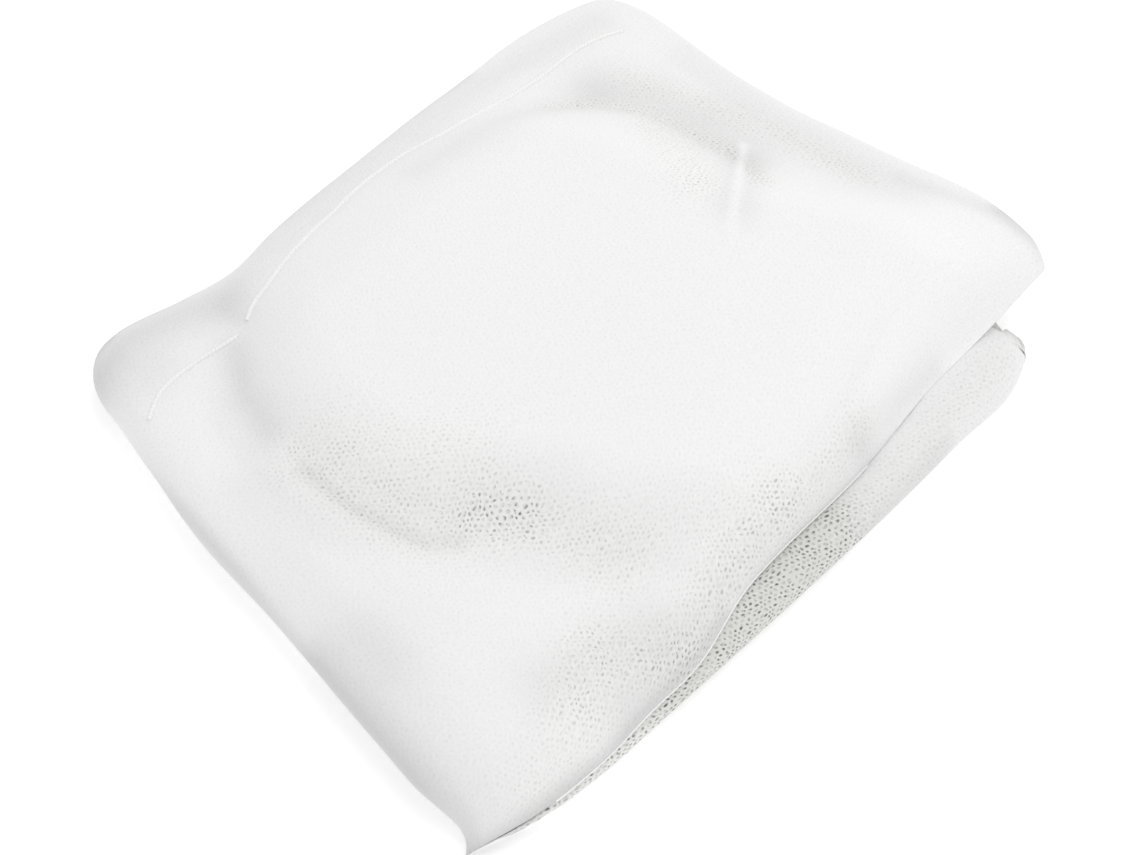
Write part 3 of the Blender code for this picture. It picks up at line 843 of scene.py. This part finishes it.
def make_sewing_tree():
    tree = bpy.data.node_groups.new("sewn line", "GeometryNodeTree")
    tree.interface.new_socket("Geometry", in_out="INPUT", socket_type="NodeSocketGeometry")
    for name in ("Core radius", "Stitch pitch", "Stitch length", "Stitch width"):
        tree.interface.new_socket(name, in_out="INPUT", socket_type="NodeSocketFloat")
    tree.interface.new_socket("Thread", in_out="INPUT", socket_type="NodeSocketMaterial")
    tree.interface.new_socket("Geometry", in_out="OUTPUT", socket_type="NodeSocketGeometry")
    given = add(tree, "NodeGroupInput").outputs
    path = add(tree, "GeometryNodeMeshToCurve", {"Mesh": given["Geometry"]})
    ring = add(
        tree, "GeometryNodeCurvePrimitiveCircle", {"Resolution": CORE_SIDES, "Radius": given["Core radius"]}
    )
    core = add(tree, "GeometryNodeCurveToMesh", {"Curve": path, "Profile Curve": ring, "Fill Caps": True})
    beads = add(
        tree, "GeometryNodeResampleCurve", {"Curve": path, "Length": given["Stitch pitch"]}, mode="LENGTH"
    )
    ball = add(
        tree, "GeometryNodeMeshUVSphere", {"Segments": STITCH_SIDES, "Rings": STITCH_RINGS, "Radius": 0.5}
    )
    run = add(tree, "GeometryNodeInputTangent")
    along = add(tree, "FunctionNodeAlignRotationToVector", {"Vector": run}, axis="X")
    wobble = add(
        tree, "FunctionNodeRandomValue",
        {2: STITCH_SLANT - STITCH_WOBBLE, 3: STITCH_SLANT + STITCH_WOBBLE, "Seed": 4},
    )
    slant = add(tree, "FunctionNodeAxisAngleToRotation", {"Angle": wobble.outputs[1]})
    turned = add(
        tree, "FunctionNodeRotateRotation", {"Rotation": along, "Rotate By": slant}, rotation_space="LOCAL"
    )
    size = add(
        tree, "ShaderNodeCombineXYZ",
        {"X": given["Stitch length"], "Y": given["Stitch width"], "Z": given["Stitch width"]},
    )
    stitches = add(
        tree, "GeometryNodeInstanceOnPoints",
        {"Points": beads, "Instance": ball, "Rotation": turned, "Scale": size},
    )
    lift = add(tree, "ShaderNodeCombineXYZ", {"Z": given["Core radius"]})
    raised = add(
        tree, "GeometryNodeTranslateInstances",
        {"Instances": stitches, "Translation": lift, "Local Space": False},
    )
    joined = add(tree, "GeometryNodeJoinGeometry", {"Geometry": core})
    tree.links.new(raised.outputs[0], joined.inputs["Geometry"])
    real = add(tree, "GeometryNodeRealizeInstances", {"Geometry": joined})
    smooth = add(tree, "GeometryNodeSetShadeSmooth", {"Geometry": real})
    coloured = add(tree, "GeometryNodeSetMaterial", {"Geometry": smooth, "Material": given["Thread"]})
    add(tree, "NodeGroupOutput", {"Geometry": coloured})
    return tree


sewing_tree = make_sewing_tree()
print("sewing tree:", len(sewing_tree.nodes), "nodes")

# %% [markdown]
# ## The knitted finish
#
# The net is warp-knitted polyester: fine matt white yarn, looped into a honeycomb with holes about two
# millimetres apart. Adding three waves that cross at 60 degrees gives a field with its peaks on a
# honeycomb lattice, and a threshold on it draws round holes, as colour and a fine bump. A soft noise pulls
# the lattice about, since no hand-folded net lies straight. The same pattern, turned and pulled otherwise,
# stands for the plies below, so a hole shows threads of the next ply and only a hole over a hole is dark.
# All of this is worked out on the cloth's own UVs, so it bends with every fold.
# The dark of a hole over a hole, set by the dotted attribute, is painted shade of the hollow below.

# %% Colours and the honeycomb
HOLE_PITCH = 2.03
KNIT_TURN = math.radians(-49.0)
WALE_TURN = math.radians(49.0)
YARN_WHITE = "#F0F0F0"
# Grey of sheer plies, also used for painted shade on rims, troughs and valleys.
LAYER_AND_SHADE_GREY = "#D0D0D0"
WARM_PLY = "#E4E4D9"
# Painted shade: the dark seen through holes over a hollow.
HOLLOW_SHADE_GREY = "#6F6F6D"
THREAD_WHITE = "#F5F5F4"
# Noises on the cloth, as bumps to a metre, and how far the first two move the lattice, in metres.
PULL_NOISE = 75.0
JOLT_NOISE = 380.0
PATCH_NOISE = 130.0
WALE_NOISE = 950.0
PULL_REACH = (0.004, 0.004, 0)
NEAR_JOLT = (0.0018, 0.0018, 0)
FAR_JOLT = (0.0030, -0.0022, 0)
# Where a hole's edge begins and ends on the honeycomb field, and where the plies below leave a gap.
HOLE_EDGE = (0.20, 0.80)
GAP_EDGE = (0.5, 1.25)


def linear(code):
    """An sRGB hex colour as linear RGBA."""
    channels = [int(code[k:k + 2], 16) / 255 for k in (1, 3, 5)]
    return [c / 12.92 if c <= 0.04045 else ((c + 0.055) / 1.055) ** 2.4 for c in channels] + [1.0]


def honeycomb(tree, place, turn, shift, pitch):
    """A field on a place in metres, from 0 on the threads to 1 in the middle of each hole."""
    placed = add(
        tree, "ShaderNodeMapping",
        {"Vector": place, "Location": (shift, 0.7 * shift, 0), "Rotation": (0, 0, turn)},
    )
    step = 2 * math.pi / (pitch * MM * math.sqrt(3) / 2)
    waves = 0.0
    for k in range(3):
        angle = k * math.pi / 3
        direction = (math.cos(angle) * step, math.sin(angle) * step, 0)
        phase = add(tree, "ShaderNodeVectorMath", {0: placed, 1: direction}, operation="DOT_PRODUCT")
        wave = add(tree, "ShaderNodeMath", {0: phase.outputs["Value"]}, operation="COSINE")
        waves = add(tree, "ShaderNodeMath", {0: wave, 1: waves}, operation="ADD")
    return add(tree, "ShaderNodeMath", {0: waves, 1: 1 / 4.5, 2: 1.5 / 4.5}, operation="MULTIPLY_ADD")


# %% The netting material


def make_netting_material():
    """Warp-knitted polyester: matt, dotted where the plies are few, with painted shade in its dark dots and
    grey bands.
    """
    material = bpy.data.materials.new("warp-knitted polyester net")
    material.use_nodes = True
    tree = material.node_tree
    shader = tree.nodes["Principled BSDF"]
    cloth = add(tree, "ShaderNodeUVMap", uv_map="cloth")
    # Broad pulls of the whole lattice, and a small unevenness from hole to hole.
    pull = add(tree, "ShaderNodeTexNoise", {"Vector": cloth, "Scale": PULL_NOISE, "Detail": 1.0})
    pull = pull.outputs["Color"]
    jolt = add(tree, "ShaderNodeTexNoise", {"Vector": cloth, "Scale": JOLT_NOISE, "Detail": 0.0})
    jolt = jolt.outputs["Color"]
    pulled = add(
        tree, "ShaderNodeVectorMath", {0: pull, 1: PULL_REACH, 2: cloth}, operation="MULTIPLY_ADD"
    )
    near_place = add(
        tree, "ShaderNodeVectorMath", {0: jolt, 1: NEAR_JOLT, 2: pulled}, operation="MULTIPLY_ADD"
    )
    far_place = add(
        tree, "ShaderNodeVectorMath", {0: jolt, 1: FAR_JOLT, 2: cloth}, operation="MULTIPLY_ADD"
    )
    near = honeycomb(tree, near_place, KNIT_TURN, 0.0, HOLE_PITCH)
    second = honeycomb(tree, far_place, KNIT_TURN + 0.33, 0.0011, HOLE_PITCH * 1.04)
    third = honeycomb(tree, far_place, KNIT_TURN - 0.61, 0.0023, HOLE_PITCH * 0.97)
    below = add(tree, "ShaderNodeMath", {0: second, 1: third}, operation="ADD")
    hole = add(
        tree, "ShaderNodeMapRange", {"Value": near, "From Min": HOLE_EDGE[0], "From Max": HOLE_EDGE[1]},
        interpolation_type="SMOOTHSTEP",
    )
    gap = add(
        tree, "ShaderNodeMapRange", {"Value": below, "From Min": GAP_EDGE[0], "From Max": GAP_EDGE[1]},
        interpolation_type="SMOOTHSTEP",
    )
    # dotted sets the dark holes, painted shade of the hollow below; grey sets sheer tone and painted shade.
    dotted = add(tree, "ShaderNodeAttribute", attribute_name="dotted").outputs["Fac"]
    grey = add(tree, "ShaderNodeAttribute", attribute_name="grey").outputs["Fac"]
    # The dots come and go a little along a band, as the plies below part and meet.
    patch = add(tree, "ShaderNodeTexNoise", {"Vector": cloth, "Scale": PATCH_NOISE, "Detail": 2.0})
    parted = add(tree, "ShaderNodeMath", {0: patch, 1: 2.2, 2: -0.2}, operation="MULTIPLY_ADD")
    strength = add(tree, "ShaderNodeMath", {0: dotted, 1: parted}, operation="MULTIPLY")
    strength = add(tree, "ShaderNodeMath", {0: strength, 1: 0.035}, operation="ADD")
    depth = add(tree, "ShaderNodeMath", {0: gap, 1: 0.85, 2: 0.3}, operation="MULTIPLY_ADD")
    depth = add(tree, "ShaderNodeMath", {0: depth, 1: hole}, operation="MULTIPLY")
    dark = add(tree, "ShaderNodeMath", {0: depth, 1: strength}, operation="MULTIPLY", use_clamp=True)
    # The plies below show in soft small patches; the grey attribute adds sheer tone and painted shade.
    mottle_and_shade = add(tree, "ShaderNodeMath", {0: gap, 1: 0.06, 2: grey}, operation="MULTIPLY_ADD")
    # The wales, the knitting's own rows of loops, show as faint streaks.
    rows = add(
        tree, "ShaderNodeMapping",
        {"Vector": cloth, "Rotation": (0, 0, WALE_TURN), "Scale": (3.5, 1, 1)}, vector_type="TEXTURE"
    )
    wales = add(tree, "ShaderNodeTexNoise", {"Vector": rows, "Scale": WALE_NOISE, "Detail": 1.0})
    wales = add(tree, "ShaderNodeMath", {0: wales, 1: 0.5}, operation="SUBTRACT")
    amount = add(tree, "ShaderNodeMath", {0: dotted, 1: 1.6, 2: 0.22}, operation="MULTIPLY_ADD")
    wales = add(tree, "ShaderNodeMath", {0: wales, 1: amount, 2: 0.05}, operation="MULTIPLY_ADD")
    shade = add(tree, "ShaderNodeMath", {0: mottle_and_shade, 1: wales}, operation="ADD", use_clamp=True)
    tone = add(
        tree, "ShaderNodeMix",
        {"Factor": shade, "A": linear(YARN_WHITE), "B": linear(LAYER_AND_SHADE_GREY)},
        data_type="RGBA",
    )
    # Light that passes a few plies comes back a little warmer.
    warmth = add(tree, "ShaderNodeMath", {0: dotted, 1: 0.3}, operation="MULTIPLY")
    tone = add(
        tree, "ShaderNodeMix",
        {"Factor": warmth, "A": tone.outputs["Result"], "B": linear(WARM_PLY)},
        data_type="RGBA",
    )
    # The dark holes: painted shade of the hollow below the plies.
    colour = add(
        tree, "ShaderNodeMix",
        {"Factor": dark, "A": tone.outputs["Result"], "B": linear(HOLLOW_SHADE_GREY)},
        data_type="RGBA",
    )
    tree.links.new(colour.outputs["Result"], shader.inputs["Base Color"])
    thread = add(tree, "ShaderNodeMath", {0: 1.0, 1: hole}, operation="SUBTRACT")
    bump = add(tree, "ShaderNodeBump", {"Height": thread, "Strength": 0.25, "Distance": 0.0002})
    tree.links.new(bump.outputs["Normal"], shader.inputs["Normal"])
    shader.inputs["Roughness"].default_value = 0.85
    shader.inputs["Specular IOR Level"].default_value = 0.3
    shader.inputs["Sheen Weight"].default_value = 0.15
    shader.inputs["Sheen Roughness"].default_value = 0.5
    return material


netting_material = make_netting_material()
netting.data.materials.clear()
netting.data.materials.append(netting_material)
print("netting finish:", len(netting_material.node_tree.nodes), "nodes")

# %% [markdown]
# ## Thread, and the sewn lines made
#
# The thread is spun polyester, two plies twisted together. It is whiter than the net and a little shinier,
# which is why the seams show as bright lines. The twist is far too fine to see in the picture, so it is
# drawn coarser than it is, as a faint ripple. With the thread ready, the tree is run once for each line.

# %% Thread material and sewn lines
THREAD_TWIST = 0.6


def make_thread_material():
    """Spun polyester thread: bright white with a soft gloss."""
    material = bpy.data.materials.new("spun polyester thread")
    material.use_nodes = True
    tree = material.node_tree
    shader = tree.nodes["Principled BSDF"]
    place = add(tree, "ShaderNodeTexCoord").outputs["Object"]
    fibres = add(
        tree, "ShaderNodeTexNoise", {"Vector": place, "Scale": 1 / (THREAD_TWIST * MM), "Detail": 1.0}
    )
    colour = add(
        tree, "ShaderNodeMix",
        {"Factor": fibres.outputs["Fac"], "A": linear(THREAD_WHITE), "B": linear(YARN_WHITE)},
        data_type="RGBA",
    )
    tree.links.new(colour.outputs["Result"], shader.inputs["Base Color"])
    bump = add(tree, "ShaderNodeBump", {"Height": fibres.outputs["Fac"], "Strength": 0.2, "Distance": 0.0001})
    tree.links.new(bump.outputs["Normal"], shader.inputs["Normal"])
    shader.inputs["Roughness"].default_value = 0.6
    return material


def make_sewn_line(line, thread):
    mesh = bpy.data.meshes.new(line.name)
    edges = [(k, k + 1) for k in range(len(line.points) - 1)]
    mesh.from_pydata(line.points.tolist(), edges, [])
    obj = bpy.data.objects.new(line.name, mesh)
    bpy.context.scene.collection.objects.link(obj)
    sewing = obj.modifiers.new("sewing", "NODES")
    sewing.node_group = sewing_tree
    sizes = (line.core_radius, line.stitch_pitch, line.stitch_length, line.stitch_width, thread)
    names = [item for item in sewing_tree.interface.items_tree if item.in_out == "INPUT"][1:]
    for item, value in zip(names, sizes):
        sewing[item.identifier] = value
    bake_modifiers(obj)
    keep_places(obj)
    return obj


thread_material = make_thread_material()
sewn_lines = [make_sewn_line(line, thread_material) for line in SEWN_LINES]
print("sewn lines:", [(obj.name, count_triangles(obj)) for obj in sewn_lines])

# %% [markdown]
# ## Floor, light and colour
#
# The packet lies on a white surface that the photograph shows as pure white, with hardly any shadow. Such
# pictures are taken on a pale table that is lit from below as well. So the floor is white card with a
# faint glow of its own, under a bright plain room and one large soft light, high up at the right. The
# standard colour view keeps such a bright picture as it is lit.

# %% Stage and studio light
FLOOR_WHITE = "#FCFCFC"
FLOOR_GLOW = 0.2
FLOOR_REACH = 4.0
ROOM_STRENGTH = 0.85
KEY_POWER = 3.7
KEY_SIZE = 1.0
KEY_PLACE = (0.5, -0.15, 1.1)


def make_floor():
    mesh = bpy.data.meshes.new("floor")
    corners = [(a * FLOOR_REACH, b * FLOOR_REACH, 0) for a, b in ((-1, -1), (1, -1), (1, 1), (-1, 1))]
    mesh.from_pydata(corners, [], [(0, 1, 2, 3)])
    floor = bpy.data.objects.new("floor", mesh)
    material = bpy.data.materials.new("matt white card")
    material.use_nodes = True
    shader = material.node_tree.nodes["Principled BSDF"]
    shader.inputs["Base Color"].default_value = linear(FLOOR_WHITE)
    shader.inputs["Roughness"].default_value = 0.9
    shader.inputs["Specular IOR Level"].default_value = 0.0
    shader.inputs["Emission Color"].default_value = (1, 1, 1, 1)
    shader.inputs["Emission Strength"].default_value = FLOOR_GLOW
    mesh.materials.append(material)
    bpy.context.scene.collection.objects.link(floor)
    return floor


def make_light():
    data = bpy.data.lights.new("key", "AREA")
    data.shape = "DISK"
    data.size = KEY_SIZE
    data.energy = KEY_POWER
    key = bpy.data.objects.new("key", data)
    key.location = KEY_PLACE
    key.rotation_euler = Vector(KEY_PLACE).to_track_quat("Z", "Y").to_euler()
    bpy.context.scene.collection.objects.link(key)
    world = bpy.data.worlds.new("room")
    world.use_nodes = True
    background = world.node_tree.nodes["Background"]
    background.inputs["Color"].default_value = (1, 1, 1, 1)
    background.inputs["Strength"].default_value = ROOM_STRENGTH
    bpy.context.scene.world = world
    return key


make_floor()
make_light()
bpy.context.scene.view_settings.view_transform = "Standard"
print("key light:", KEY_POWER, "W")

# %% [markdown]
# ## Riding on the body
#
# The sheet and its sewn lines ride on the packet's only body, and the sheet stands for its solid, which is
# hidden.

# %% Ride, and hide the solid
for piece in [netting] + sewn_lines:
    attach(piece, "root")
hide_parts("net")
